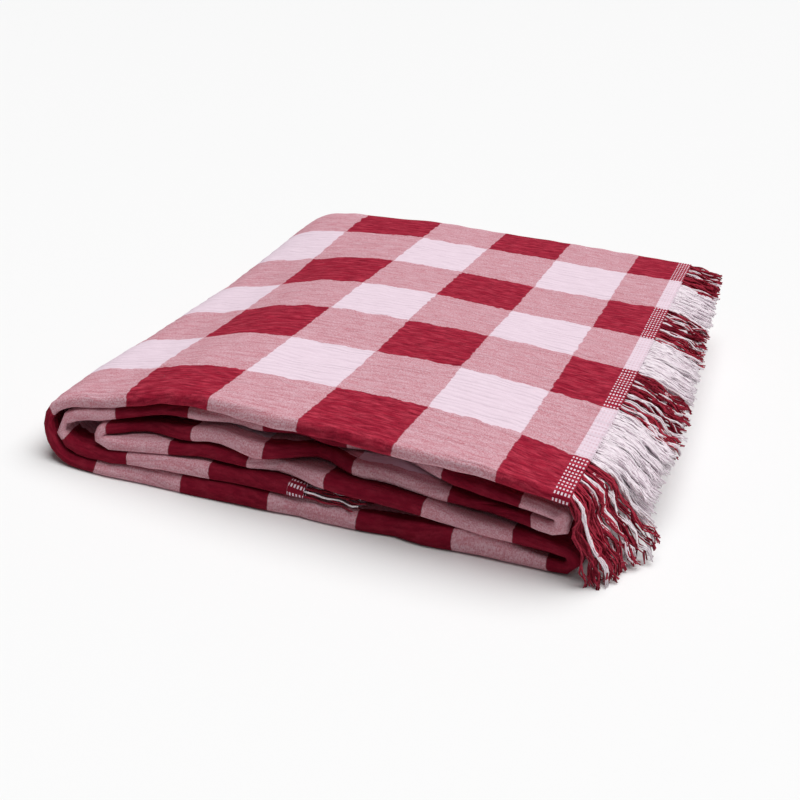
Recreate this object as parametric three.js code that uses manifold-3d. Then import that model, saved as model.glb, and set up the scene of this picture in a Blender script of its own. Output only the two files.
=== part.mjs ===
// A self-fringed gingham throw of crinkled cotton double gauze, folded up for the shelf.
// The cloth is folded in four across its width, which gives a long strip with a rounded
// crease at the front, and the strip is then folded back and forth into six layers.
// Millimetres, +Z up. The front creases face -Y and the fringed end on top points to +X.

import * as THREE from 'three';
import { mergeVertices } from 'three/addons/utils/BufferGeometryUtils.js';
import Module from 'manifold-3d';

// Driving sizes
const CHECK = 50;
const STACK_DEPTH = 6.7 * CHECK;
const CLOTH_THICKNESS = 1.1;
const PLY_PITCH = 1.55;
const TOP_END = 4.75 * CHECK;
const INNER_END = 2.12 * CHECK;
const FRINGE_LENGTH = 38;
const INNER_FRINGE_LENGTH = 32;
const PART_GAP = 0.3;

// Half the pressed strip: three ply pitches and one thickness of cloth
const STRIP_HALF = (3 * PLY_PITCH + CLOTH_THICKNESS) / 2;

// The way of the strip, seen from the front, from the fringed end on top to the end inside.
// x and z are its middle inside the stack, crease and puff are the height and the thickness
// of its rounded front crease there, and steps is how many parts the next stretch has.
// A row with fold has the strip turned tightly back between it and the next row.
const WAY = [
  // Top layer, right to left, and the outer nose
  { x: TOP_END, z: 46.5, crease: 45.6, puff: 6.5, steps: 3 },
  { x: 150, z: 46.8, crease: 46.4, puff: 6.5, steps: 2 },
  { x: 80, z: 46.8, crease: 46.2, puff: 6.8, steps: 1 },
  { x: 44, z: 46, crease: 45.4, puff: 6.6, steps: 1 },
  { x: 24, z: 43.4, crease: 43, puff: 6.4, steps: 1 },
  { x: 8, z: 39, crease: 38.8, puff: 6.2, steps: 1 },
  { x: -8, z: 35, crease: 34.9, puff: 6, steps: 2 },
  { x: -31, z: 30.4, crease: 30.4, puff: 6, steps: 2 },
  { x: -39.4, z: 25.6, crease: 25.6, puff: 6, steps: 2 },
  { x: -41.6, z: 20, crease: 20, puff: 6, steps: 1 },
  { x: -39.2, z: 14, crease: 14, puff: 6, steps: 1 },
  { x: -34, z: 8.2, crease: 8.2, puff: 6, steps: 2 },
  { x: -26, z: 4.1, crease: 4.1, puff: 6, steps: 2 },
  // First layer, on the surface, left to right
  { x: -8, z: STRIP_HALF, crease: 3.1, puff: 6.2, steps: 2 },
  { x: 40, z: STRIP_HALF, crease: 4.3, puff: 8.6, steps: 3 },
  { x: 130, z: STRIP_HALF, crease: 5, puff: 10, steps: 2 },
  { x: 195, z: STRIP_HALF, crease: 6, puff: 12, steps: 2 },
  { x: 236, z: STRIP_HALF, crease: 3.8, puff: 7.6, fold: 1 },
  // Third layer, right to left, over the end of the second
  { x: 236, z: 13.8, crease: 14.6, puff: 7.4, steps: 2 },
  { x: 195, z: 14.5, crease: 18.2, puff: 9.8, steps: 2 },
  { x: 130, z: 17.5, crease: 20.4, puff: 7.6, steps: 2 },
  { x: 60, z: 19.8, crease: 21.8, puff: 6.4, steps: 2 },
  { x: 26, z: 18, crease: 19.2, puff: 6, steps: 2 },
  { x: -6, z: 15.6, crease: 15.8, puff: 5.9, fold: -1 },
  // Fourth layer, left to right
  { x: -6, z: 21.7, crease: 21.7, puff: 5.9, steps: 2 },
  { x: 26, z: 25.2, crease: 25.8, puff: 6.2, steps: 2 },
  { x: 60, z: 28.8, crease: 29.2, puff: 7, steps: 2 },
  { x: 130, z: 27.5, crease: 29, puff: 7.6, steps: 2 },
  { x: 195, z: 25.5, crease: 28, puff: 8.2, steps: 2 },
  { x: 234, z: 24.7, crease: 25.4, puff: 7.4, fold: 1 },
  // Fifth layer, right to left, and the second nose inside the outer one
  { x: 234, z: 35.6, crease: 35.2, puff: 7, steps: 2 },
  { x: 195, z: 36, crease: 36.4, puff: 6.4, steps: 2 },
  { x: 130, z: 37, crease: 37, puff: 6.1, steps: 2 },
  { x: 60, z: 38.4, crease: 38, puff: 6, steps: 1 },
  { x: 30, z: 36.4, crease: 36.2, puff: 6, steps: 1 },
  { x: 8, z: 31.6, crease: 31.6, puff: 6, steps: 1 },
  { x: -8, z: 28.2, crease: 28.2, puff: 6, steps: 1 },
  { x: -26.5, z: 24.2, crease: 24.2, puff: 6, steps: 2 },
  { x: -32.4, z: 20.4, crease: 20.4, puff: 6, steps: 1 },
  { x: -31.6, z: 15.6, crease: 15.6, puff: 6, steps: 1 },
  { x: -26.5, z: 11.6, crease: 11.6, puff: 6, steps: 1 },
  { x: -20.5, z: 9.9, crease: 9.9, puff: 6, steps: 2 },
  // Second layer, left to right, up to its fringed end inside the stack
  { x: -4, z: 9.3, crease: 9.6, puff: 6, steps: 2 },
  { x: 30, z: 10.8, crease: 12.3, puff: 7, steps: 2 },
  { x: 70, z: 11.8, crease: 13.9, puff: 8, steps: 2 },
  { x: INNER_END, z: 11.7, crease: 13.4, puff: 6.4, steps: 0 },
];
const FOLD_PARTS = 5;

// How far the crease's height and puff reach into the stack
const CREASE_REACH = 45;
const PUFF_REACH = 18;

// Large soft shapes. The fronts of the layers: how far back they start, at the bottom and top
const FRONT_TOP = 10;
const FRONT_BOTTOM_LEFT = -12;
const FRONT_BOTTOM_RIGHT = 12;
const STACK_HEIGHT = 50;
// The right front corner sinks by a share of its height, from the first to the second place
const CORNER_DROP = 0.12;
const CORNER_ACROSS = [185, 245];
const CORNER_BACK = [10, 110];
// The nose at the left leans out towards the back, sags halfway and stands up at the back
const NOSE_LEAN = 16;
const LEAN_ACROSS = [-10, 50];
const RISE_ACROSS = [-20, 30];
const BACK_RISE = 0.24;
const RISE_BACK = [210, 330];
const SIDE_SAG = 0.08;
const SAG_START = [40, 110];
const SAG_END = [190, 240];

const { lerp, clamp } = THREE.MathUtils;

function smooth(value, [start, end]) {
  const t = clamp((value - start) / (end - start), 0, 1);
  return t * t * (3 - 2 * t);
}

// Lays the pressed stack down as it really rests, from x, y and z in the pressed stack
function settle(x, y, z) {
  const bottom = lerp(FRONT_BOTTOM_LEFT, FRONT_BOTTOM_RIGHT, clamp(x / TOP_END, 0, 1));
  const front = lerp(bottom, FRONT_TOP, Math.min(1, z / STACK_HEIGHT));
  const corner = smooth(x, CORNER_ACROSS) * (1 - smooth(y, CORNER_BACK));
  const lean = (1 - smooth(x, LEAN_ACROSS)) * Math.sqrt(clamp(y / STACK_DEPTH, 0, 1));
  const sag = SIDE_SAG * smooth(y, SAG_START) * (1 - smooth(y, SAG_END));
  const rise = (1 - smooth(x, RISE_ACROSS)) * (BACK_RISE * smooth(y, RISE_BACK) - sag);
  const height = 1 + rise - CORNER_DROP * corner;
  return new THREE.Vector3(x - NOSE_LEAN * lean, y + front, z * height);
}

// The way as closely spaced places, each with the direction to the strip's outer side
function stripPlaces() {
  const knots = [];
  WAY.forEach((row, i) => {
    knots.push(row);
    if (!row.fold) return;
    const next = WAY[i + 1];
    const radius = (next.z - row.z) / 2;
    for (let part = 1; part < FOLD_PARTS; part += 1) {
      const t = part / FOLD_PARTS;
      knots.push({
        x: lerp(row.x, next.x, t) + row.fold * radius * Math.sin(Math.PI * t),
        z: row.z + radius * (1 - Math.cos(Math.PI * t)),
        crease: lerp(row.crease, next.crease, (1 - Math.cos(Math.PI * t)) / 2),
        puff: lerp(row.puff, next.puff, t),
        steps: 1,
      });
    }
  });
  const curve = new THREE.CatmullRomCurve3(knots.map((k) => new THREE.Vector3(k.x, 0, k.z)));
  const places = [];
  knots.forEach((knot, i) => {
    const next = knots[Math.min(i + 1, knots.length - 1)];
    const steps = Math.max(1, knot.steps ?? 1);
    for (let step = 0; step < steps; step += 1) {
      const t = step / steps;
      const u = (i + t) / (knots.length - 1);
      const point = curve.getPoint(u);
      const tangent = curve.getTangent(u);
      places.push({
        x: point.x,
        z: point.z,
        lift: lerp(knot.crease - knot.z, next.crease - next.z, t),
        puff: lerp(knot.puff, next.puff, t) / (2 * STRIP_HALF) - 1,
        outX: tangent.z,
        outZ: -tangent.x,
      });
    }
  });
  return places;
}

// Cloth as close to the surface as this lies on it
const REST_WITHIN = 0.35;

// A point of the strip: back from the front crease, and out from the strip's middle
function stripPoint(place, back, out) {
  const lift = place.lift * Math.exp(-((back / CREASE_REACH) ** 2));
  const swollen = out * (1 + place.puff * Math.exp(-((back / PUFF_REACH) ** 2)));
  const height = place.z + lift + place.outZ * swollen;
  return settle(place.x + place.outX * swollen, back, height < REST_WITHIN ? 0 : height);
}

// Section of the folded strip as the cloth's middle line, each point with its outer side
const BACK_STATIONS = [12, 34, 110, 220];
const BACK_BEND_PARTS = 3;
const FRONT_BEND_PARTS = 6;
const SELVEDGE = 9;
const BACK_CENTRE = STACK_DEPTH - (PLY_PITCH + CLOTH_THICKNESS) / 2;

function bend(back, out, radius, start, parts) {
  const points = [];
  for (let i = 0; i <= parts; i += 1) {
    const angle = start + Math.PI * (i / parts);
    const sideBack = Math.cos(angle);
    const sideOut = Math.sin(angle);
    points.push({ back: back + radius * sideBack, out: out + radius * sideOut, sideBack, sideOut });
  }
  return points;
}

function flat(stations, out, sideOut) {
  return stations.map((back) => ({ back, out, sideBack: 0, sideOut }));
}

function clothSection() {
  const [first, ...deeper] = BACK_STATIONS;
  const inside = [SELVEDGE, ...deeper];
  const outside = [first, ...deeper];
  const inner = PLY_PITCH / 2;
  const outer = 1.5 * PLY_PITCH;
  const quarter = Math.PI / 2;
  const middle = [
    ...flat(inside, inner, -1),
    ...bend(BACK_CENTRE, PLY_PITCH, inner, -quarter, BACK_BEND_PARTS),
    ...flat([...outside].reverse(), outer, 1),
    ...bend(STRIP_HALF, 0, outer, quarter, FRONT_BEND_PARTS),
    ...flat(outside, -outer, -1),
    ...bend(BACK_CENTRE, -PLY_PITCH, inner, -quarter, BACK_BEND_PARTS),
    ...flat([...inside].reverse(), -inner, 1),
  ];
  const half = CLOTH_THICKNESS / 2;
  const face = (side) => middle.map((p) => new THREE.Vector2(
    p.back + side * half * p.sideBack,
    p.out + side * half * p.sideOut,
  ));
  return [...face(1), ...face(-1).reverse()];
}

// Joins rings of points, one after another, into a closed body with flat ends
function loft(rings, outline) {
  const count = outline.length;
  const positions = rings.flat().flatMap((p) => [p.x, p.y, p.z]);
  const index = [];
  for (let ring = 0; ring + 1 < rings.length; ring += 1) {
    for (let i = 0; i < count; i += 1) {
      const a = ring * count + i;
      const b = ring * count + ((i + 1) % count);
      index.push(a, b + count, b, a, a + count, b + count);
    }
  }
  const last = (rings.length - 1) * count;
  THREE.ShapeUtils.triangulateShape(outline, []).forEach(([a, b, c]) => {
    index.push(a, b, c, last + a, last + c, last + b);
  });
  const geometry = new THREE.BufferGeometry();
  geometry.setAttribute('position', new THREE.Float32BufferAttribute(positions, 3));
  geometry.setIndex(index);
  return geometry;
}

const places = stripPlaces();

function clothGeometry() {
  const outline = clothSection();
  return loft(places.map((place) => outline.map((p) => stripPoint(place, p.x, p.y))), outline);
}

// Fringe: locks of loose warp yarn, twisted together by handling
const LOCK_RADIUS = 1.4;
const LOCK_SIDES = 3;
const LOCK_TAPER = 0.4;
const TOP_LOCK_PARTS = 4;
const INNER_LOCK_PARTS = 3;
const BACKING_WIDTH = 3;
const BACKING_HALF = 2.4;
const BACKING_STATIONS = [1, 12, 34, 110, 220, STACK_DEPTH - 1];
const LENGTH_SCATTER = 0.06;
const SWAY = 2;
const INNER_SAG = 1.4;
const DROP_SCATTER = 6;
// How locks hang along the top end, by distance back from the front crease: drop is how
// steeply they hang at their tips, and forward is how far they stray to the front.
// A lock starts to drop a little before it leaves the cloth, and this far along it hangs straight
const DROP_SPAN = [-0.3, 0.6];
const HANG = [
  { back: 0, drop: 82, length: 1.12, forward: -3 },
  { back: 25, drop: 68, length: 1.2, forward: -2 },
  { back: 50, drop: 58, length: 1.02, forward: 1 },
  { back: 100, drop: 42, length: 0.95, forward: 1 },
  { back: 160, drop: 26, length: 0.88, forward: 0 },
  { back: STACK_DEPTH, drop: 12, length: 0.76, forward: 0 },
];

function hangAt(back) {
  const i = HANG.findIndex((row) => row.back >= back);
  const [a, b] = [HANG[Math.max(0, i - 1)], HANG[Math.max(0, i)]];
  const t = b.back > a.back ? (back - a.back) / (b.back - a.back) : 0;
  return {
    drop: lerp(a.drop, b.drop, t),
    length: lerp(a.length, b.length, t),
    forward: lerp(a.forward, b.forward, t),
  };
}

// A repeatable scatter between -1 and 1
function scatter(number, kind) {
  return Math.sin(number * 12.9898 + kind * 78.233);
}

function lockGeometry(centres) {
  const outline = [];
  for (let i = 0; i < LOCK_SIDES; i += 1) {
    const angle = Math.PI / 2 + 2 * Math.PI * (i / LOCK_SIDES);
    outline.push(new THREE.Vector2(Math.cos(angle), Math.sin(angle)));
  }
  const rings = centres.map((centre, i) => {
    const before = centres[Math.max(0, i - 1)];
    const after = centres[Math.min(centres.length - 1, i + 1)];
    const along = after.clone().sub(before).normalize();
    const up = along.clone().cross(new THREE.Vector3(0, 1, 0)).normalize();
    const side = up.clone().cross(along);
    const radius = LOCK_RADIUS * (1 - LOCK_TAPER * (i / (centres.length - 1)));
    return outline.map((p) => centre.clone()
      .addScaledVector(side, -radius * p.x)
      .addScaledVector(up, radius * p.y));
  });
  return loft(rings, outline);
}

// The narrow strip at an open end of the cloth that its locks hang from
function backingGeometry(place) {
  const outline = [
    new THREE.Vector2(PART_GAP, -BACKING_HALF),
    new THREE.Vector2(PART_GAP + BACKING_WIDTH, -BACKING_HALF),
    new THREE.Vector2(PART_GAP + BACKING_WIDTH, BACKING_HALF),
    new THREE.Vector2(PART_GAP, BACKING_HALF),
  ];
  const rings = BACKING_STATIONS.map((back) => outline.map((p) => (
    stripPoint({ ...place, x: place.x + p.x, outX: 0, outZ: 1 }, back, p.y)
  )));
  return loft(rings, outline);
}

// Centre points of a lock that leaves the top end, clears the folds below and hangs down
function topLock(number, back, out) {
  const hang = hangAt(back);
  const steps = TOP_LOCK_PARTS;
  const length = FRINGE_LENGTH * hang.length * (1 + LENGTH_SCATTER * scatter(number, 1));
  const steepest = THREE.MathUtils.degToRad(hang.drop + DROP_SCATTER * scatter(number, 3));
  const lift = places[0].lift * Math.exp(-((back / CREASE_REACH) ** 2));
  let x = TOP_END + BACKING_WIDTH / 2;
  let z = places[0].z + lift + out;
  const centres = [];
  for (let step = 0; step <= steps; step += 1) {
    const t = step / steps;
    const sway = (SWAY * scatter(number, 2) - hang.forward) * t;
    const centre = settle(x, back + sway, z);
    centre.z = Math.max(centre.z, LOCK_RADIUS);
    centres.push(centre);
    const drop = steepest * smooth(t, DROP_SPAN);
    x += (length / steps) * Math.cos(drop);
    z -= (length / steps) * Math.sin(drop);
  }
  return centres;
}

// Centre points of a lock that lies flat between the layers at the inner end
function innerLock(number, back) {
  const end = places[places.length - 1];
  const steps = INNER_LOCK_PARTS;
  const length = INNER_FRINGE_LENGTH * (1 + LENGTH_SCATTER * scatter(number, 4));
  const lift = end.lift * Math.exp(-((back / CREASE_REACH) ** 2));
  const centres = [];
  for (let step = 0; step <= steps; step += 1) {
    const t = step / steps;
    const x = end.x + BACKING_WIDTH / 2 + length * t;
    centres.push(settle(x, back + SWAY * scatter(number, 5) * t, end.z + lift - INNER_SAG * t));
  }
  return centres;
}

// Places from front to back, an inset away from both ends
function evenly(pitch, inset) {
  const count = Math.round((STACK_DEPTH - 2 * inset) / pitch);
  const places = Array.from({ length: count + 1 }, (_, i) => i / count);
  return places.map((t) => lerp(inset, STACK_DEPTH - inset, t));
}

const wasm = await Module();
wasm.setup();

function toSolid(geometry) {
  const merged = mergeVertices(geometry);
  return new wasm.Manifold(new wasm.Mesh({
    numProp: 3,
    vertProperties: new Float32Array(merged.attributes.position.array),
    triVerts: new Uint32Array(merged.index.array),
  }));
}

function toGeometry(solid) {
  const { vertProperties, triVerts } = solid.getMesh();
  const geometry = new THREE.BufferGeometry();
  geometry.setAttribute('position', new THREE.BufferAttribute(vertProperties, 3));
  geometry.setIndex(new THREE.BufferAttribute(triVerts, 1));
  return geometry;
}

// Fuses locks at their roots with the backing that they hang from
function fringeGeometry(place, locks) {
  const parts = [backingGeometry(place), ...locks.map(lockGeometry)];
  return toGeometry(wasm.Manifold.union(parts.map(toSolid)));
}

const UPPER_PITCH = 6;
const LOWER_PITCH = 9.5;
const INNER_PITCH = 9;
const ROW_OUT = 1.5;
const UPPER_INSET = 4;
const LOWER_INSET = 7;
const LOWER_NUMBER = 100;
const topLocks = [
  ...evenly(UPPER_PITCH, UPPER_INSET).map((back, i) => topLock(i, back, ROW_OUT)),
  ...evenly(LOWER_PITCH, LOWER_INSET).map((back, i) => topLock(LOWER_NUMBER + i, back, -ROW_OUT)),
];
const innerLocks = evenly(INNER_PITCH, UPPER_INSET).map((back, i) => innerLock(i, back));

const RED_CHECK = 0xa83246;
const PALE_YARN = 0xd9a9b2;
const cotton = { roughness: 0.95, metalness: 0 };
const clothFinish = new THREE.MeshStandardMaterial({ color: RED_CHECK, ...cotton });
const fringeFinish = new THREE.MeshStandardMaterial({ color: PALE_YARN, ...cotton });

function piece(name, geometry, material) {
  geometry.computeVertexNormals();
  const mesh = new THREE.Mesh(geometry, material);
  mesh.name = name;
  return mesh;
}

const throwBlanket = new THREE.Group();
throwBlanket.add(
  piece('throw_cloth', clothGeometry(), clothFinish),
  piece('fringe_top', fringeGeometry(places[0], topLocks), fringeFinish),
  piece('fringe_inner', fringeGeometry(places[places.length - 1], innerLocks), fringeFinish),
);

// The origin is under the middle of the folded stack, on the surface it lies on
const extent = new THREE.Box3().setFromObject(throwBlanket);
const centre = extent.getCenter(new THREE.Vector3());
throwBlanket.position.set(-centre.x, -centre.y, -extent.min.z);

export default throwBlanket;
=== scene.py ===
import math

import bpy
import numpy as np
from mathutils import Matrix, Vector


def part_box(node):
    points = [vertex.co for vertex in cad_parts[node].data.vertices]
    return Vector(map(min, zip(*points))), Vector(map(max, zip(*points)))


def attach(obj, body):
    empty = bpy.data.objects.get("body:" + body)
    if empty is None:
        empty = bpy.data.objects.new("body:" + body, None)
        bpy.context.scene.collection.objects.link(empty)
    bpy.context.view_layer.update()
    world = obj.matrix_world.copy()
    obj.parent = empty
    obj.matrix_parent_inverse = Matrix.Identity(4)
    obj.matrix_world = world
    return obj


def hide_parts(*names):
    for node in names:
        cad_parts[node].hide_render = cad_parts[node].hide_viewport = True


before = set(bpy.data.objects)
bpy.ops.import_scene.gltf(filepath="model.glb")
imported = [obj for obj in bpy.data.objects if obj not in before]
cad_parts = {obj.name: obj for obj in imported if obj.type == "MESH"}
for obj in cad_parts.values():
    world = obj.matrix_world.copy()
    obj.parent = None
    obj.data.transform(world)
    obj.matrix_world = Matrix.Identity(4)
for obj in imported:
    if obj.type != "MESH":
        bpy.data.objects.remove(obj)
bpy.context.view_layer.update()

# The cloth: one length of crinkled cotton double gauze, woven in red and white checks, folded
# in four across its width and then back and forth into six layers. It is held by its own
# weight only. The strip goes the way that the frame's solid has, with dents of its own in front.
MM = 0.001
CHECK = 50
STACK_DEPTH = 6.7 * CHECK
STACK_HEIGHT = 50
CLOTH = 1.1
PLY_PITCH = 1.55
STRIP_HALF = (3 * PLY_PITCH + CLOTH) / 2
TOP_END = 4.75 * CHECK
INNER_END = 2.12 * CHECK

# Lowest corner of the frame's cloth in this script's own millimetres
CLOTH_CORNER = (-60.44, -10.93)

# Layer, x and z of the strip's middle, height and thickness of its rounded front crease,
# and 1 or -1 where the strip turns tightly back to the right or the left
WAY = [
    ("top", TOP_END, 46.5, 45.6, 6.5, 0),
    ("top", 150, 46.8, 46.4, 6.5, 0),
    ("top", 80, 46.8, 46.2, 6.8, 0),
    ("top", 44, 46, 45.4, 6.6, 0),
    ("top", 24, 43.4, 43, 6.4, 0),
    ("top", 8, 39, 38.8, 6.2, 0),
    ("top", -8, 35, 34.9, 6, 0),
    ("top", -31, 30.4, 30.4, 6, 0),
    ("nose", -39.4, 25.6, 25.6, 6, 0),
    ("nose", -41.6, 20, 20, 6, 0),
    ("nose", -39.2, 14, 14, 6, 0),
    ("nose", -34, 8.2, 8.2, 6, 0),
    ("nose", -26, 4.1, 4.1, 6, 0),
    ("first", -8, STRIP_HALF, 3.1, 6.2, 0),
    ("first", 40, STRIP_HALF, 4.3, 8.6, 0),
    ("first", 130, STRIP_HALF, 5, 10, 0),
    ("first", 195, STRIP_HALF, 6, 12, 0),
    ("first", 236, STRIP_HALF, 3.8, 7.6, 1),
    ("third", 236, 13.8, 14.6, 7.4, 0),
    ("third", 195, 14.5, 18.2, 9.8, 0),
    ("third", 130, 17.5, 20.4, 7.6, 0),
    ("third", 60, 19.8, 21.8, 6.4, 0),
    ("third", 26, 18, 19.2, 6, 0),
    ("third", -6, 15.6, 15.8, 5.9, -1),
    ("fourth", -6, 21.7, 21.7, 5.9, 0),
    ("fourth", 26, 25.2, 25.8, 6.2, 0),
    ("fourth", 60, 28.8, 29.2, 7, 0),
    ("fourth", 130, 27.5, 29, 7.6, 0),
    ("fourth", 195, 25.5, 28, 8.2, 0),
    ("fourth", 234, 24.7, 25.4, 7.4, 1),
    ("fifth", 234, 35.6, 35.2, 7, 0),
    ("fifth", 195, 36, 36.4, 6.4, 0),
    ("fifth", 130, 37, 37, 6.1, 0),
    ("fifth", 60, 38.4, 38, 6, 0),
    ("fifth", 30, 36.4, 36.2, 6, 0),
    ("fifth", 8, 31.6, 31.6, 6, 0),
    ("fifth", -8, 28.2, 28.2, 6, 0),
    ("inner nose", -26.5, 24.2, 24.2, 6, 0),
    ("inner nose", -32.4, 20.4, 20.4, 6, 0),
    ("inner nose", -31.6, 15.6, 15.6, 6, 0),
    ("inner nose", -26.5, 11.6, 11.6, 6, 0),
    ("inner nose", -20.5, 9.9, 9.9, 6, 0),
    ("second", -4, 9.3, 9.6, 6, 0),
    ("second", 30, 10.8, 12.3, 7, 0),
    ("second", 70, 11.8, 13.9, 8, 0),
    ("second", INNER_END, 11.7, 13.4, 6.4, 0),
]
FOLD_PARTS = 5

# Where the checks' edges lie along each layer's front crease: layer, x, and the number of
# checks woven since the first full one at the top end
CHECK_EDGES = [
    ("top", TOP_END, -0.75),
    ("top", 229, -0.58),
    ("top", 200, 0),
    ("top", 150, 1),
    ("top", 100, 2),
    ("top", 50, 3),
    ("top", 3.5, 4),
    ("first", -8, 6),
    ("first", 40, 7),
    ("first", 88, 8),
    ("first", 134, 9),
    ("first", 182, 10),
    ("first", 228, 11),
    ("third", 211, 12),
    ("third", 166, 13),
    ("third", 116, 14),
    ("third", 74, 15),
    ("third", 31, 16),
    ("fourth", 42, 18),
    ("fourth", 82, 19),
    ("fourth", 128, 20),
    ("fourth", 176, 21),
    ("fourth", 221, 22),
    ("fifth", 214, 23),
    ("fifth", 171, 24),
    ("fifth", 121, 25),
    ("fifth", 78, 26),
    ("second", 9.5, 30),
    ("second", 54.5, 31),
    ("second", 97.5, 32),
    ("second", INNER_END, 32.17),
]

# Soft creases and dents along the front of the layers: layer, x, half width,
# and how far the crease there is raised, set back and thickened
DENTS = [
    ("top", 30, 22, 0.3, -1.0, 0.0),
    ("top", 85, 30, 0.0, -3.0, 0.05),
    ("top", 150, 40, 0.5, -3.5, 0.10),
    ("top", 205, 25, 0.0, -2.0, 0.0),
    ("fifth", 22, 22, 0.6, 4.0, -0.12),
    ("fifth", 62, 16, -0.8, 8.0, -0.15),
    ("fifth", 96, 16, 1.2, 8.0, -0.10),
    ("fifth", 140, 28, -1.4, 18.0, -0.10),
    ("fifth", 200, 34, -4.6, 6.0, 0.0),
    ("fourth", 16, 16, 0.0, 7.0, -0.15),
    ("fourth", 52, 12, 0.6, 3.0, 0.05),
    ("fourth", 79, 9, -0.6, -1.5, 0.25),
    ("fourth", 108, 15, -0.6, 12.0, -0.12),
    ("fourth", 146, 18, -0.8, 5.0, 0.0),
    ("fourth", 194, 28, -5.2, 8.0, -0.32),
    ("third", 50, 16, 0.0, 2.5, 0.0),
    ("third", 92, 14, -0.8, 6.0, -0.12),
    ("third", 128, 18, 0.6, -1.5, 0.10),
    ("third", 184, 6, -0.8, 1.6, -0.10),
    ("third", 196, 26, -3.0, 0.0, -0.45),
    ("second", 28, 14, 0.3, -0.5, 0.05),
    ("second", 66, 14, -0.3, 1.0, 0.0),
    ("first", 20, 18, 0.0, 0.8, 0.0),
    ("first", 104, 8, -0.2, 1.2, -0.08),
    ("first", 152, 7, -0.3, 1.6, -0.10),
    ("first", 170, 12, 0.0, -1.0, 0.05),
]

# How far the crease's height, its puff and its setting back reach into the stack
CREASE_REACH = 45
PUFF_REACH = 18
RECESS_REACH = 30

# Large soft shapes. The fronts of the layers: how far back they start, at the bottom and top
FRONT_TOP = 10
FRONT_BOTTOM_LEFT = -12
FRONT_BOTTOM_RIGHT = 12

# The right front corner sinks by a share of its height, from the first to the second place
CORNER_DROP = 0.12
CORNER_ACROSS = (185, 245)
CORNER_BACK = (10, 110)

# How far the right front corner is drawn in, by share of the stack's height
CORNER_PULL = np.array([
    (0.00, 1.0),
    (0.30, 3.0),
    (0.60, 9.0),
    (0.85, 4.0),
    (1.00, 3.5),
])

# The nose at the left leans out towards the back, sags halfway and stands up at the back
NOSE_LEAN = 16
LEAN_ACROSS = (-10, 50)
RISE_ACROSS = (-20, 30)
BACK_RISE = 0.24
RISE_BACK = (210, 330)
SIDE_SAG = 0.08
SAG_START = (40, 110)
SAG_END = (190, 240)

# Broad soft waves through the whole stack, as a share of its height: the share of each wave,
# its length across and back, and where it starts
WAVE = 0.018
WAVES = [
    (0.50, 31, 47, 0.6),
    (0.35, 19, -38, 2.1),
    (0.30, 90, 23, 0.0),
]


def smooth(value, start, end):
    t = np.clip((value - start) / (end - start), 0, 1)
    return t * t * (3 - 2 * t)


def undulation(x, y):
    return sum(
        share * np.sin(x / across + y / back + start)
        for share, across, back, start in WAVES
    )


def settle(x, y, z):
    """The pressed stack laid down as it rests: its lower layers stand forward, its right front
    corner sinks, and the nose at its left leans out towards the back."""
    share = np.minimum(1, z / STACK_HEIGHT)
    across = np.clip(x / TOP_END, 0, 1)
    bottom = FRONT_BOTTOM_LEFT + (FRONT_BOTTOM_RIGHT - FRONT_BOTTOM_LEFT) * across
    front = bottom + (FRONT_TOP - bottom) * share
    corner = smooth(x, *CORNER_ACROSS) * (1 - smooth(y, *CORNER_BACK))
    lean = NOSE_LEAN * (1 - smooth(x, *LEAN_ACROSS)) * np.sqrt(np.clip(y / STACK_DEPTH, 0, 1))
    sag = SIDE_SAG * smooth(y, *SAG_START) * (1 - smooth(y, *SAG_END))
    rise = (1 - smooth(x, *RISE_ACROSS)) * (BACK_RISE * smooth(y, *RISE_BACK) - sag)
    inward = lean + corner * np.interp(share, CORNER_PULL[:, 0], CORNER_PULL[:, 1])
    height = 1 + rise - CORNER_DROP * corner + WAVE * undulation(x, y)
    return np.stack([x - inward, y + front, z * height], axis=-1)


def way_knots():
    """The rows of the way with their tight folds rounded: layers, and x, z, lift and puff."""
    layers = []
    knots = []
    for i, (layer, x, z, crease, puff, fold) in enumerate(WAY):
        layers.append(layer)
        knots.append((x, z, crease - z, puff))
        if not fold:
            continue
        following = WAY[i + 1]
        radius = (following[2] - z) / 2
        for part in range(1, FOLD_PARTS):
            t = part / FOLD_PARTS
            height = (1 - math.cos(math.pi * t)) / 2
            across = x + (following[1] - x) * t + fold * radius * math.sin(math.pi * t)
            level = z + 2 * radius * height
            lifted = crease + (following[3] - crease) * height
            layers.append("fold")
            knots.append((across, level, lifted - level, puff + (following[4] - puff) * t))
    return layers, np.array(knots)


def through(knots, parts):
    """A smooth line through the knots, by the centripetal rule that the solid's way follows."""
    first = 2 * knots[0] - knots[1]
    last = 2 * knots[-1] - knots[-2]
    p = np.vstack([first, knots, last])
    gap = np.sqrt(np.linalg.norm(np.diff(p[:, :2], axis=0), axis=1))
    t = np.linspace(0, 1, parts, endpoint=False)[:, None]
    line = []
    for i in range(len(knots) - 1):
        p0, p1, p2, p3 = p[i:i + 4]
        d0, d1, d2 = gap[i:i + 3]
        leave = ((p1 - p0) / d0 - (p2 - p0) / (d0 + d1) + (p2 - p1) / d1) * d1
        arrive = ((p2 - p1) / d1 - (p3 - p1) / (d1 + d2) + (p3 - p2) / d2) * d1
        bow = -3 * p1 + 3 * p2 - 2 * leave - arrive
        twist = 2 * p1 - 2 * p2 + leave + arrive
        line.append(p1 + leave * t + bow * t**2 + twist * t**3)
    line.append(knots[-1:])
    return np.vstack(line)


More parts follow.
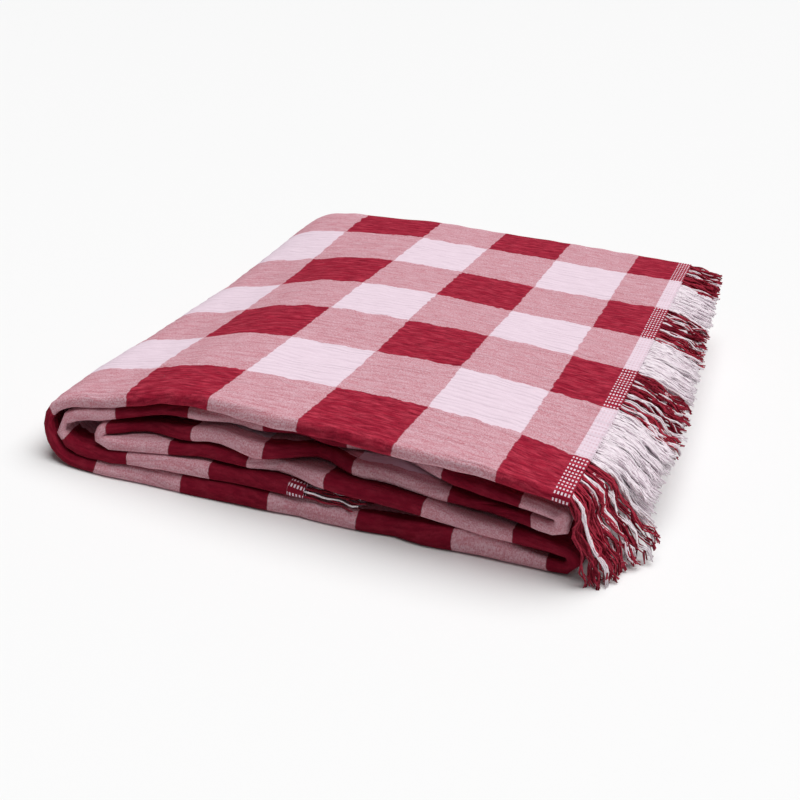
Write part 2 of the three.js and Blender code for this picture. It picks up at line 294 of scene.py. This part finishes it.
# Closely spaced places on the way, then the places of the mesh's rings: near each other on
# the top, round the noses and in the tight folds, and further apart inside the stack
FINE_PARTS = 24
knot_layers, knots = way_knots()
fine = through(knots, FINE_PARTS)
fine_layer = np.array([knot_layers[i // FINE_PARTS] for i in range(len(fine))])
run = np.concatenate([[0], np.cumsum(np.linalg.norm(np.diff(fine[:, :2], axis=0), axis=1))])
TOP_STEP = 4
FOLD_STEP = 1.8
HIDDEN_STEP = 7
step_here = np.full(len(fine), float(HIDDEN_STEP))
step_here[np.isin(fine_layer, ["top", "nose"])] = TOP_STEP
step_here[fine_layer == "fold"] = FOLD_STEP
rings_run = [0.0]
while rings_run[-1] < run[-1]:
    rings_run.append(rings_run[-1] + np.interp(rings_run[-1], run, step_here))
rings_run[-1] = run[-1]
rings_run = np.array(rings_run)


def ring_values(line):
    return np.stack([np.interp(rings_run, run, line[:, k]) for k in range(line.shape[1])], axis=-1)


ring = ring_values(fine)
ring_x, ring_z, ring_lift = ring[:, 0], ring[:, 1], ring[:, 2]
ring_puff = ring[:, 3] / (2 * STRIP_HALF) - 1
along = ring_values(np.gradient(fine[:, :2], run, axis=0))
along /= np.linalg.norm(along, axis=1, keepdims=True)
ring_out_x, ring_out_z = along[:, 1], -along[:, 0]
ring_layer = fine_layer[np.searchsorted(run, rings_run).clip(0, len(fine) - 1)]

# Woven place of each ring, in checks
edge_run = []
for layer, x, woven in CHECK_EDGES:
    here = np.flatnonzero(fine_layer == layer)
    order = here[np.argsort(fine[here, 0])]
    edge_run.append(np.interp(x, fine[order, 0], run[order]))
ring_woven = np.interp(rings_run, edge_run, [row[2] for row in CHECK_EDGES])

ring_back = np.zeros(len(rings_run))
for layer, x, width, raised, set_back, thicker in DENTS:
    here = (ring_layer == layer) * np.exp(-(((ring_x - x) / width) ** 2))
    ring_lift = ring_lift + raised * here
    ring_back += set_back * here
    ring_puff = ring_puff + thicker * here


def strip_points(back, out, swell):
    """Points of all rings at the given places of the section, pushed out by swell."""
    lift = ring_lift[:, None] * np.exp(-((back / CREASE_REACH) ** 2))
    grown = out * (1 + ring_puff[:, None] * np.exp(-((back / PUFF_REACH) ** 2))) + swell
    recess = ring_back[:, None] * np.exp(-((back / RECESS_REACH) ** 2))
    x = ring_x[:, None] + ring_out_x[:, None] * grown
    z = np.maximum(0, ring_z[:, None] + lift + ring_out_z[:, None] * grown)
    return settle(x, back + recess, z)


def spaced(start, end, pitch):
    return np.linspace(start, end, max(2, round(abs(end - start) / pitch) + 1))


def bend(back, out, radius, start, parts):
    angle = start + np.pi * np.arange(parts + 1) / parts
    side = np.stack([np.cos(angle), np.sin(angle)], axis=-1)
    return np.hstack([np.array([back, out]) + radius * side, side])


def flat(stations, out, side_out):
    rows = np.zeros((len(stations), 4))
    rows[:, 0] = stations
    rows[:, 1] = out
    rows[:, 3] = side_out
    return rows


# The selvedges' place, the spacing along the hidden plies, the centre of the folds at the back,
# and the first line between two rows of checks. The plies are flat from the end of the front
# crease, in crease heights, to the start of the back folds, and seen up to a place at the front
SELVEDGE = 9
INNER_PITCH = 16
BACK_CENTRE = STACK_DEPTH - (PLY_PITCH + CLOTH) / 2
ROW_LINE = 35
CREASE_END = 2.6
BACK_START = 6
SEEN_TO = 48
BACK_PARTS = 4


def section(fine_pitch, front_pitch, hidden_pitch, turn):
    """The folded strip's section as rows of back, out and the direction of the outer side."""
    inner, outer, quarter = PLY_PITCH / 2, 1.5 * PLY_PITCH, np.pi / 2
    front = CREASE_END * STRIP_HALF
    deep = STACK_DEPTH - BACK_START
    seen = spaced(front, SEEN_TO, front_pitch)
    under = np.concatenate([seen, spaced(SEEN_TO, deep, hidden_pitch)[1:]])
    return np.vstack([
        flat(spaced(SELVEDGE, deep, INNER_PITCH), inner, -1),
        bend(BACK_CENTRE, PLY_PITCH, inner, -quarter, BACK_PARTS),
        flat(spaced(deep, front, fine_pitch), outer, 1),
        bend(STRIP_HALF, 0, outer, quarter, turn),
        flat(under, -outer, -1),
        bend(BACK_CENTRE, -PLY_PITCH, inner, -quarter, BACK_PARTS),
        flat(spaced(deep, SELVEDGE, INNER_PITCH), -inner, 1),
    ])


def with_woven(rows):
    """Adds each place's woven distance across the cloth, in checks from the first row line."""
    walk = np.linalg.norm(np.diff(rows[:, :2], axis=0), axis=1)
    walked = np.concatenate([[0], np.cumsum(walk)])
    top = np.flatnonzero((rows[:, 1] > PLY_PITCH) & (rows[:, 0] > ROW_LINE))
    origin = walked[top[-1]] + rows[top[-1], 0] - ROW_LINE
    return np.column_stack([rows, (origin - walked) / CHECK])


outside = with_woven(section(2.7, 2.8, 10, 14))
inside = with_woven(section(6, 7, 12, 8))[::-1]

# Long narrow pleats and small puckers of the crinkled cloth, the same on every run
SEED = 11
draw = np.random.default_rng(SEED)


def waves(u, v, count, u_length, v_length):
    """A sum of gentle waves over the woven cloth, about -1 to 1, in its own millimetres."""
    total = 0
    for _ in range(count):
        wave_u = 2 * np.pi / draw.uniform(*u_length) * draw.choice([-1, 1])
        wave_v = 2 * np.pi / draw.uniform(*v_length)
        total = total + np.sin(wave_u * u + wave_v * v + draw.uniform(0, 2 * np.pi))
    return total / math.sqrt(count)


outline = np.vstack([outside, inside])
woven_u, woven_v = np.meshgrid(ring_woven, outline[:, 4], indexing="ij")

# The rows of checks aren't quite straight: towards the front they bow back in the middle, and
# the last one lies a little further back
ROW_BOW = 7
BOW_MIDDLE = 130
BOW_WIDTH = 75
BOW_FADES = (110, 220)
BACK_SHIFT = 6
SHIFT_GROWS = (230, 290)
bow = ROW_BOW * np.exp(-(((ring_x[:, None] - BOW_MIDDLE) / BOW_WIDTH) ** 2))
bow = bow * (1 - smooth(outline[:, 0], *BOW_FADES))
drift = bow + BACK_SHIFT * smooth(outline[:, 0], *SHIFT_GROWS)
woven_v = woven_v - drift / CHECK

# Heights of the pleats and puckers, and the most that both together may push the cloth
PLEAT = 0.2
PUCKER = 0.16
SWELL_MOST = 0.5
pleats = waves(woven_u * CHECK, woven_v * CHECK, 10, (90, 300), (7, 13))
puckers = waves(woven_u * CHECK, woven_v * CHECK, 8, (18, 34), (14, 40))
swell = (PLEAT * pleats + PUCKER * puckers).clip(-SWELL_MOST, SWELL_MOST)
swell = swell * np.sign(outline[:, 1])
half = CLOTH / 2
side = np.concatenate([np.full(len(outside), half), np.full(len(inside), -half)])
points = strip_points(
    outline[:, 0] + side * outline[:, 2],
    outline[:, 1] + side * outline[:, 3],
    swell,
)

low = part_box("throw_cloth")[0]
shift = np.array([low[0] / MM - CLOTH_CORNER[0], low[1] / MM - CLOTH_CORNER[1], 0])


def new_piece(name, verts, faces, body="root"):
    mesh = bpy.data.meshes.new(name)
    mesh.from_pydata(((verts + shift) * MM).tolist(), [], faces)
    mesh.update()
    obj = bpy.data.objects.new(name, mesh)
    bpy.context.scene.collection.objects.link(obj)
    mesh.polygons.foreach_set("use_smooth", np.ones(len(mesh.polygons), dtype=bool))
    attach(obj, body)
    return obj


def set_uv(obj, name, per_vertex):
    layer = obj.data.uv_layers.new(name=name)
    loops = np.zeros(len(obj.data.loops), dtype=np.int32)
    obj.data.loops.foreach_get("vertex_index", loops)
    layer.data.foreach_set("uv", per_vertex[loops].ravel())


def ring_faces(rings, count):
    faces = []
    for r in range(rings - 1):
        for i in range(count):
            a = r * count + i
            b = r * count + (i + 1) % count
            faces.append((a, a + count, b + count, b))
    return faces


rings, count = points.shape[:2]
cloth_faces = ring_faces(rings, count)
cloth_faces.append(tuple(range(count)))
cloth_faces.append(tuple(range(rings * count - 1, (rings - 1) * count - 1, -1)))
cloth = new_piece("throw_cloth_sheet", points.reshape(-1, 3), cloth_faces)
set_uv(cloth, "woven", np.stack([woven_u, woven_v], axis=-1).reshape(-1, 2))


class Wire:
    """A shader socket that Python's operators build Math nodes on."""

    def __init__(self, tree, socket):
        self.tree = tree
        self.socket = socket

    def node(self, kind, settings=(), inputs=(), output=0):
        made = self.tree.nodes.new(kind)
        for key, value in dict(settings).items():
            setattr(made, key, value)
        for key, value in dict(inputs).items():
            target = made.inputs[key]
            if isinstance(value, Wire):
                self.tree.links.new(value.socket, target)
            else:
                target.default_value = value
        return Wire(self.tree, made.outputs[output])

    def maths(self, operation, *values):
        return self.node("ShaderNodeMath", {"operation": operation}, dict(enumerate(values)))

    def __add__(self, other):
        return self.maths("ADD", self, other)

    def __radd__(self, other):
        return self.maths("ADD", other, self)

    def __sub__(self, other):
        return self.maths("SUBTRACT", self, other)

    def __rsub__(self, other):
        return self.maths("SUBTRACT", other, self)

    def __mul__(self, other):
        return self.maths("MULTIPLY", self, other)

    def __lt__(self, other):
        return self.maths("LESS_THAN", self, other)

    def __gt__(self, other):
        return self.maths("GREATER_THAN", self, other)

    def __mod__(self, other):
        return self.maths("FLOORED_MODULO", self, other)

    def __abs__(self):
        return self.maths("ABSOLUTE", self)

    def sin(self):
        return self.maths("SINE", self)

    def ramp(self, start, end):
        """0 before start, 1 after end, and a soft step between them."""
        settings = {"interpolation_type": "SMOOTHSTEP", "clamp": True}
        return self.node("ShaderNodeMapRange", settings, {"Value": self, 1: start, 2: end})

    def split(self):
        made = self.node("ShaderNodeSeparateXYZ", (), {0: self})
        outs = made.socket.node.outputs
        return Wire(self.tree, outs[0]), Wire(self.tree, outs[1]), Wire(self.tree, outs[2])

    def join(self, x, y, z=0.0):
        return self.node("ShaderNodeCombineXYZ", (), {0: x, 1: y, 2: z})

    def noise(self, place, scale, detail=2.0, roughness=0.5):
        inputs = {"Vector": place, "Scale": scale, "Detail": detail, "Roughness": roughness}
        return self.node("ShaderNodeTexNoise", (), inputs)

    def mix(self, factor, a, b):
        """The colour a turned into the colour b by factor."""
        settings = {"data_type": "RGBA", "clamp_factor": True}
        return self.node("ShaderNodeMix", settings, {0: factor, 6: a, 7: b}, 2)


def new_finish(name, roughness, sheen):
    material = bpy.data.materials.new(name)
    material.use_nodes = True
    tree = material.node_tree
    shader = tree.nodes["Principled BSDF"]
    shader.inputs["Roughness"].default_value = roughness
    shader.inputs["Specular IOR Level"].default_value = 0.05
    shader.inputs["Sheen Weight"].default_value = sheen
    shader.inputs["Sheen Roughness"].default_value = 0.5
    return material, tree, shader


def feed(tree, wire, socket):
    tree.links.new(wire.socket, socket)


RED = (0.390, 0.016, 0.042, 1)
DEEP_RED = (0.150, 0.004, 0.016, 1)
BRIGHT_RED = (0.560, 0.050, 0.088, 1)
WHITE = (0.830, 0.680, 0.768, 1)
SHADED_WHITE = (0.690, 0.530, 0.620, 1)
MIXED = (0.600, 0.290, 0.335, 1)
WARM_MIXED = (0.800, 0.330, 0.400, 1)

gingham, tree, shader = new_finish("gingham", 0.95, 0.015)
uv = Wire(tree, tree.nodes.new("ShaderNodeUVMap").outputs[0])
uv.socket.node.uv_map = "woven"
u, v, _ = uv.split()

# Edges of the checks waver, more across the crinkle than along it
ROW_WAVER = 0.14
COLUMN_WAVER = 0.075
EDGE = 0.012
row_waver = uv.noise(uv.join(u * 4.5, v * 2.0), 1.0, 3.0, 0.6) - 0.5
column_waver = uv.noise(uv.join(u * 1.5, v * 7), 1.0, 3.0, 0.6) - 0.5
row_place = v + row_waver * ROW_WAVER
column_place = u + column_waver * COLUMN_WAVER


def stripes(place):
    """1 in the odd checks and 0 in the even ones, with an edge a few threads wide."""
    wave = (place * math.pi).sin()
    return wave.ramp(EDGE * math.pi, -EDGE * math.pi)


red_warp = stripes(row_place)
red_weft = stripes(column_place)
thread = uv.noise(uv.join(u * 26, v * 110), 1.0, 2.0, 0.6)
fleck = uv.noise(uv.join(u * 70, v * 75), 1.0, 2.0, 0.7)
patch = uv.noise(uv.join(u * 5, v * 16), 1.0, 3.0, 0.6)
heather = (fleck * 0.5 + thread * 0.3 + patch * 0.2).ramp(0.40, 0.60)
share = (red_warp + red_weft) * 0.5
mixed = abs(share - 0.5).ramp(0.3, 0.2)

# The header: white weft picks that show as rows of dashes where the warp is red
TOP_HEADER = -0.58
INNER_HEADER = 32.0
DASH_PITCH = 1.75
DASH_ROW_PITCH = 3.2
header = (u < TOP_HEADER) + (u > INNER_HEADER)
dash_along = (u * CHECK * (2 * math.pi / DASH_PITCH)).sin().ramp(-0.35, 0.25)
dash_across = (v * CHECK * (2 * math.pi / DASH_ROW_PITCH)).sin().ramp(0.0, 0.45)
dashes = dash_along * dash_across

# Long narrow pleats of the crinkle, rounded on top and sharp in their valleys
PLEATS_A_CHECK = 13.0
PLEAT_WAVER = 3.2
pleat_waver = uv.noise(uv.join(u * 0.9, v * 3.0), 1.0, 2.0)
pleat_phase = v * PLEATS_A_CHECK + pleat_waver * PLEAT_WAVER
pleat = abs((pleat_phase * math.pi).sin())
depth = uv.noise(uv.join(u * 2.2, v * 6.0), 1.0, 2.0).ramp(0.3, 0.65)
small = uv.noise(uv.join(u * 7, v * 46), 1.0, 3.0, 0.6)
height = pleat * (0.25 + depth * 0.55) + small * 0.55 + fleck * 0.2
# Painted shade: the colour darkens in the deep valleys of the pleats, on top of its random mottle
pleat_valley_shade = (1 - pleat).ramp(0.55, 1.0) * depth
mottle_and_valley_shade = (small * 0.8 + fleck * 0.35).ramp(0.30, 0.78) * (1 - pleat_valley_shade * 0.5)

# Painted shade on the folded layers, in place of some of the shade between them: a deeper red
# than the top, and a warmer, more saturated pink in the mixed checks
FOLDED_FROM = 4.2
FOLDED_FULLY = 5.6
folded_layer_shade = u.ramp(FOLDED_FROM, FOLDED_FULLY)
red_here = uv.mix(mottle_and_valley_shade, DEEP_RED, uv.mix(patch.ramp(0.35, 0.7), RED, BRIGHT_RED))
red_here = uv.mix(folded_layer_shade * 0.7, red_here, DEEP_RED)
white_here = uv.mix(mottle_and_valley_shade * 0.6 + 0.4, SHADED_WHITE, WHITE)
light_mixed = uv.mix(0.42, MIXED, WHITE)
dark_mixed = uv.mix(0.38, MIXED, RED)
mixed_here = uv.mix(heather, dark_mixed, light_mixed)
mixed_here = uv.mix(folded_layer_shade * 0.14, mixed_here, WARM_MIXED)
# Painted shade in the pleats' valleys, in the mixed checks too
mixed_here = uv.mix(pleat_valley_shade * 0.5, mixed_here, dark_mixed)
plain = uv.mix(share, white_here, red_here)
woven_colour = uv.mix(mixed, plain, mixed_here)
header_red = uv.mix(dashes, red_here, WHITE)
header_white = uv.mix(dashes * 0.3, white_here, MIXED)
header_colour = uv.mix(red_warp, header_white, header_red)
feed(tree, uv.mix(header, woven_colour, header_colour), shader.inputs["Base Color"])
bump = uv.node("ShaderNodeBump", (), {"Strength": 0.6, "Distance": 0.0008, "Height": height})
feed(tree, bump, shader.inputs["Normal"])
cloth.data.materials.append(gingham)
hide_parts("throw_cloth")

# The fringe on top: the warp yarn that runs on past the header, loose and twisted together in
# locks. It hangs over the right side of the stack, down to the surface in front.
FRINGE_LENGTH = 38
ROOT_INSIDE = 0.6
DROP_TO = 0.6
# Distance back from the front crease, how steeply the tips hang in degrees, share of the
# length, how far the tips stray forward, and the share of the turn taken at the root
HANG = np.array([
    (0, 84, 1.24, 5, 0.52),
    (12, 76, 1.34, 3, 0.42),
    (32, 64, 1.42, -1, 0.30),
    (39, 42, 1.04, 0, 0.22),
    (60, 38, 0.98, 1, 0.22),
    (100, 34, 0.95, 1, 0.24),
    (160, 26, 0.82, 0, 0.26),
    (STACK_DEPTH, 12, 0.58, 0, 0.26),
])
YARN_POINTS = 12
YARN_SIDES = 3
TIP_SHARE = 0.75
CLEARANCE = 0.1
NEVER_ALONG_A_YARN = (0.0, 0.93, 0.37)


def yarn_mesh(name, lines, radii, tint):
    """One mesh of thin yarns. lines has a line of points for each yarn."""
    number, steps = lines.shape[:2]
    direction = np.gradient(lines, axis=1)
    direction /= np.linalg.norm(direction, axis=2, keepdims=True)
    sideways = np.cross(direction, NEVER_ALONG_A_YARN)
    sideways /= np.linalg.norm(sideways, axis=2, keepdims=True)
    upward = np.cross(sideways, direction)
    angle = 2 * np.pi * np.arange(YARN_SIDES) / YARN_SIDES
    taper = np.linspace(1, TIP_SHARE, steps)[None, :, None, None]
    spread = radii[:, None, None, None] * taper
    offset = (
        np.cos(angle)[None, None, :, None] * sideways[:, :, None, :]
        + np.sin(angle)[None, None, :, None] * upward[:, :, None, :]
    )
    verts = lines[:, :, None, :] + spread * offset
    verts[..., 2] = np.maximum(verts[..., 2], CLEARANCE)
    faces = []
    size = steps * YARN_SIDES
    for n in range(number):
        base = n * size
        for s in range(steps - 1):
            for k in range(YARN_SIDES):
                a = base + s * YARN_SIDES + k
                b = base + s * YARN_SIDES + (k + 1) % YARN_SIDES
                faces.append((a, b, b + YARN_SIDES, a + YARN_SIDES))
        faces.append(tuple(base + k for k in range(YARN_SIDES - 1, -1, -1)))
        faces.append(tuple(base + size - YARN_SIDES + k for k in range(YARN_SIDES)))
    obj = new_piece(name, verts.reshape(-1, 3), faces)
    place = np.zeros((number, steps, YARN_SIDES, 2))
    place[..., 0] = tint[:, None, None]
    place[..., 1] = np.linspace(0, 1, steps)[None, :, None]
    set_uv(obj, "yarn", place.reshape(-1, 2))
    return obj


def hanging(back, out, length, drop, forward, root):
    """Lines that leave the top end at back and out, and turn down as they go."""
    t = np.linspace(0, 1, YARN_POINTS)
    share = root[:, None] + (1 - root[:, None]) * smooth(t, 0, DROP_TO)
    turned = np.radians(drop)[:, None] * share
    reach = length[:, None] / (YARN_POINTS - 1)
    x = np.cumsum(reach * np.cos(turned), axis=1) - reach * np.cos(turned[:, :1])
    z = np.cumsum(reach * np.sin(turned), axis=1) - reach * np.sin(turned[:, :1])
    lift = ring_lift[0] * np.exp(-((back / CREASE_REACH) ** 2))
    return (
        TOP_END - ROOT_INSIDE + x,
        back[:, None] - forward[:, None] * t,
        (ring_z[0] + lift + out)[:, None] - z,
        turned,
        t,
    )


def row_is_red(back):
    return np.floor((back - ROW_LINE) / CHECK) % 2 == 1


# Height in the strip, distance between locks where the rows are red and white, and first place
LOCK_LAYERS = [
    (2.0, 2.5, 1.35, 1.2),
    (0.2, 2.7, 1.5, 2.3),
    (-1.6, 2.9, 1.8, 1.8),
]
lock_rows = []
for out, pitch_red, pitch_white, start in LOCK_LAYERS:
    back = start
    while back < STACK_DEPTH - 1:
        lock_rows.append((back, out))
        back += pitch_red if row_is_red(back) else pitch_white
lock_rows = np.array(lock_rows)
lock_count = len(lock_rows)
lock_red = row_is_red(lock_rows[:, 0])
YARNS = 4
yarn_lock = np.repeat(np.arange(lock_count), YARNS)
yarn_count = len(yarn_lock)

# How far the locks wave, how far a lock's yarns twist round each other, and the yarns' radius,
# where the rows are red and where they are white
RED_WAVE = 1.9
WHITE_WAVE = 0.35
WAVE_LENGTH = 17
RED_TWIST = 0.42
WHITE_TWIST = 0.4
TWIST_LENGTH = 15
RED_RADIUS = 0.52
WHITE_RADIUS = 0.55

# Share of the locks in red rows that are pale, by distance back, and of pale yarns in them
PALE_BACK = [0, 60, 70, 240, 270]
PALE_LOCKS = [0.34, 0.34, 0.46, 0.40, 0.16]
PALE_YARNS = 0.8

# The tint that the yarn's colour is read from
WHITE_TINT = 0.75
RED_TINT = 0.25
TINT_SPREAD = 0.12


def lock_draw(spread):
    return draw.uniform(-spread, spread, lock_count)[yarn_lock]


# How far yarns and locks stray from their row, length, drop and course, and how near the
# cloth's front crease and back folds a yarn may start
BACK_SCATTER = 0.9
OUT_SCATTER = 0.5
LOCK_LENGTH_SCATTER = 0.07
YARN_LENGTH_SCATTER = 0.03
DROP_SCATTER = 6
FORWARD_SCATTER = 3
NEAREST_FRONT = 0.6
NEAREST_BACK = 0.8
back = lock_rows[yarn_lock, 0] + draw.uniform(-BACK_SCATTER, BACK_SCATTER, yarn_count)
back = back.clip(NEAREST_FRONT, STACK_DEPTH - NEAREST_BACK)
out = lock_rows[yarn_lock, 1] + draw.uniform(-OUT_SCATTER, OUT_SCATTER, yarn_count)
red_row = lock_red[yarn_lock]
hang = [np.interp(back, HANG[:, 0], HANG[:, k]) for k in range(1, 5)]
by_lock = lock_draw(LOCK_LENGTH_SCATTER)
by_yarn = draw.uniform(-YARN_LENGTH_SCATTER, YARN_LENGTH_SCATTER, yarn_count)
length = FRINGE_LENGTH * hang[1] * (1 + by_lock + by_yarn)
drop = hang[0] + lock_draw(DROP_SCATTER)
forward = hang[2] + lock_draw(FORWARD_SCATTER)
x, y, z, turned, t = hanging(back, out, length, drop, forward, hang[3])
wave = np.where(red_row, RED_WAVE, WHITE_WAVE)[:, None] * t**0.7
wave_length = WAVE_LENGTH + lock_draw(3)[:, None]
walked = 2 * np.pi * length[:, None] * t
phase = lock_draw(math.pi)[:, None] + walked / wave_length
twist = draw.uniform(0, 2 * np.pi, yarn_count)[:, None] + walked / TWIST_LENGTH
twist_radius = np.where(red_row, RED_TWIST, WHITE_TWIST)[:, None]
y = y + wave * np.sin(phase) + twist_radius * np.cos(twist)
rise = 0.6 * wave * np.cos(phase * 0.9 + 1) + twist_radius * np.sin(twist)
x = x + rise * np.sin(turned)
z = z + rise * np.cos(turned)
lines = settle(x, y, z)
pale_lock = draw.uniform(0, 1, lock_count)[yarn_lock]
yarn_draw = draw.uniform(0, 1, yarn_count)
pale_share = np.interp(back, PALE_BACK, PALE_LOCKS)
white_yarn = np.where(red_row, (pale_lock < pale_share) & (yarn_draw < PALE_YARNS), True)
spread = draw.uniform(-TINT_SPREAD, TINT_SPREAD, yarn_count)
tint = np.where(white_yarn, WHITE_TINT, RED_TINT) + spread
radii = np.where(red_row, RED_RADIUS, WHITE_RADIUS) * draw.uniform(0.85, 1.15, yarn_count)
fringe_top = yarn_mesh("fringe_top_yarn", lines, radii, tint)

YARN_WHITE = (0.990, 0.900, 0.950, 1)
loose, tree, shader = new_finish("loose yarn", 0.95, 0.04)
uv = Wire(tree, tree.nodes.new("ShaderNodeUVMap").outputs[0])
uv.socket.node.uv_map = "yarn"
tint_here, _, _ = uv.split()
place = Wire(tree, tree.nodes.new("ShaderNodeTexCoord").outputs["Object"])
fibre = uv.noise(place, 900.0, 2.0)
pale = tint_here.ramp(0.45, 0.55)
shade = ((tint_here * 8.0) % 1.0) * 0.5 + fibre * 0.6
yarn_red = uv.mix(shade.ramp(0.2, 0.9), DEEP_RED, BRIGHT_RED)
yarn_white = uv.mix(shade.ramp(0.0, 0.6), WHITE, YARN_WHITE)
feed(tree, uv.mix(pale, yarn_red, yarn_white), shader.inputs["Base Color"])
bump = uv.node("ShaderNodeBump", (), {"Strength": 0.4, "Distance": 0.0003, "Height": fibre})
feed(tree, bump, shader.inputs["Normal"])
fringe_top.data.materials.append(loose)
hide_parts("fringe_top")

# The fringe inside: the same loose yarn at the cloth's other end, which lies flat between the
# two lowest layers and shows at the front only.
INNER_LENGTH = 32
INNER_YARN_PITCH = 1.1
INNER_HALF = 1.8
INNER_WAVE = 1.3
INNER_WAVE_UP = 0.5
INNER_WAVE_LENGTH = 14
INNER_SAG = 1.4
INNER_PALE = 0.22
INNER_FIRST = 0.8
back = np.arange(INNER_FIRST, STACK_DEPTH - 1, INNER_YARN_PITCH)
inner_count = len(back)
back = back + draw.uniform(-0.5, 0.5, inner_count)
out = draw.uniform(-INNER_HALF, INNER_HALF, inner_count)
t = np.linspace(0, 1, YARN_POINTS)
length = INNER_LENGTH * draw.uniform(0.8, 1.05, inner_count)[:, None]
lift = ring_lift[-1] * np.exp(-((back / CREASE_REACH) ** 2))
start = draw.uniform(0, 2 * np.pi, inner_count)[:, None]
phase = start + 2 * np.pi * length * t / INNER_WAVE_LENGTH
x = INNER_END - ROOT_INSIDE + length * t
y = back[:, None] + INNER_WAVE * t * np.sin(phase)
level = (ring_z[-1] + lift + out)[:, None]
z = level - INNER_SAG * t + INNER_WAVE_UP * t * np.cos(phase)
lines = settle(x, y, z)
white_yarn = draw.uniform(0, 1, inner_count) < np.where(row_is_red(back), INNER_PALE, 1)
spread = draw.uniform(-TINT_SPREAD, TINT_SPREAD, inner_count)
tint = np.where(white_yarn, WHITE_TINT, RED_TINT) + spread
radii = draw.uniform(0.45, 0.65, inner_count)
fringe_inner = yarn_mesh("fringe_inner_yarn", lines, radii, tint)
fringe_inner.data.materials.append(loose)
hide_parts("fringe_inner")

# The studio: a plain pale floor, one broad soft light overhead and a weak even light all round.
FLOOR_SIZE = 12
FLOOR_PAPER = (0.88, 0.88, 0.88, 1)
EVEN_LIGHT = 0.11
bpy.ops.mesh.primitive_plane_add(size=FLOOR_SIZE, location=(0, 0, 0))
floor = bpy.context.object
floor.name = "studio_floor"
paper = bpy.data.materials.new("studio paper")
paper.use_nodes = True
paper_shader = paper.node_tree.nodes["Principled BSDF"]
paper_shader.inputs["Base Color"].default_value = FLOOR_PAPER
paper_shader.inputs["Roughness"].default_value = 0.9
floor.data.materials.append(paper)

world = bpy.data.worlds.new("studio")
bpy.context.scene.world = world
world.use_nodes = True
even_light = world.node_tree.nodes["Background"]
even_light.inputs["Color"].default_value = (1, 1, 1, 1)
even_light.inputs["Strength"].default_value = EVEN_LIGHT
bpy.context.scene.view_settings.view_transform = "Standard"

# A very large soft light, high above and a little behind and to the right
SKY_SPREAD = 62
SKY_ENERGY = 3.3
SKY_FROM = (0.22, 0.26, 1)
sky = bpy.data.lights.new("overhead", "SUN")
sky.angle = math.radians(SKY_SPREAD)
sky.energy = SKY_ENERGY
lamp = bpy.data.objects.new("overhead", sky)
bpy.context.scene.collection.objects.link(lamp)
lamp.rotation_euler = (-Vector(SKY_FROM)).to_track_quat("-Z", "Y").to_euler()

# The camera: where the photograph was taken from, worked out from the corners of the checks.
# Its place is in checks from a corner at the back left of the top, and it is a little tilted.
CAMERA_FOCUS = 1027.0
PICTURE = 800
SENSOR = 36
CAMERA_TURN = 21.045
CAMERA_DOWN = 26.957
CAMERA_TILT = -3.094
CAMERA_CHECKS = (-0.6339, -2.5416, 15.2330)
CORNER = np.array([0.0, 295.0, 49.8])
turn, down, tilt = np.radians([CAMERA_TURN, CAMERA_DOWN, CAMERA_TILT])
flat_share = math.cos(down)
ahead = np.array([-math.sin(turn) * flat_share, math.cos(turn) * flat_share, -math.sin(down)])
right = np.cross(ahead, [0, 0, 1])
right /= np.linalg.norm(right)
lower = np.cross(ahead, right)
right_tilted = math.cos(tilt) * right + math.sin(tilt) * lower
lower_tilted = -math.sin(tilt) * right + math.cos(tilt) * lower
axes = np.stack([right_tilted, lower_tilted, ahead])
eye = (CORNER - CHECK * (axes.T @ np.array(CAMERA_CHECKS)) + shift) * MM
camera_data = bpy.data.cameras.new("camera")
camera = bpy.data.objects.new("camera", camera_data)
bpy.context.scene.collection.objects.link(camera)
camera_data.sensor_width = SENSOR
camera_data.lens = SENSOR * CAMERA_FOCUS / PICTURE
placed = Matrix.Identity(4)
for k, axis in enumerate((right_tilted, -lower_tilted, -ahead, eye)):
    for i in range(3):
        placed[i][k] = axis[i]
camera.matrix_world = placed
bpy.context.scene.camera = camera
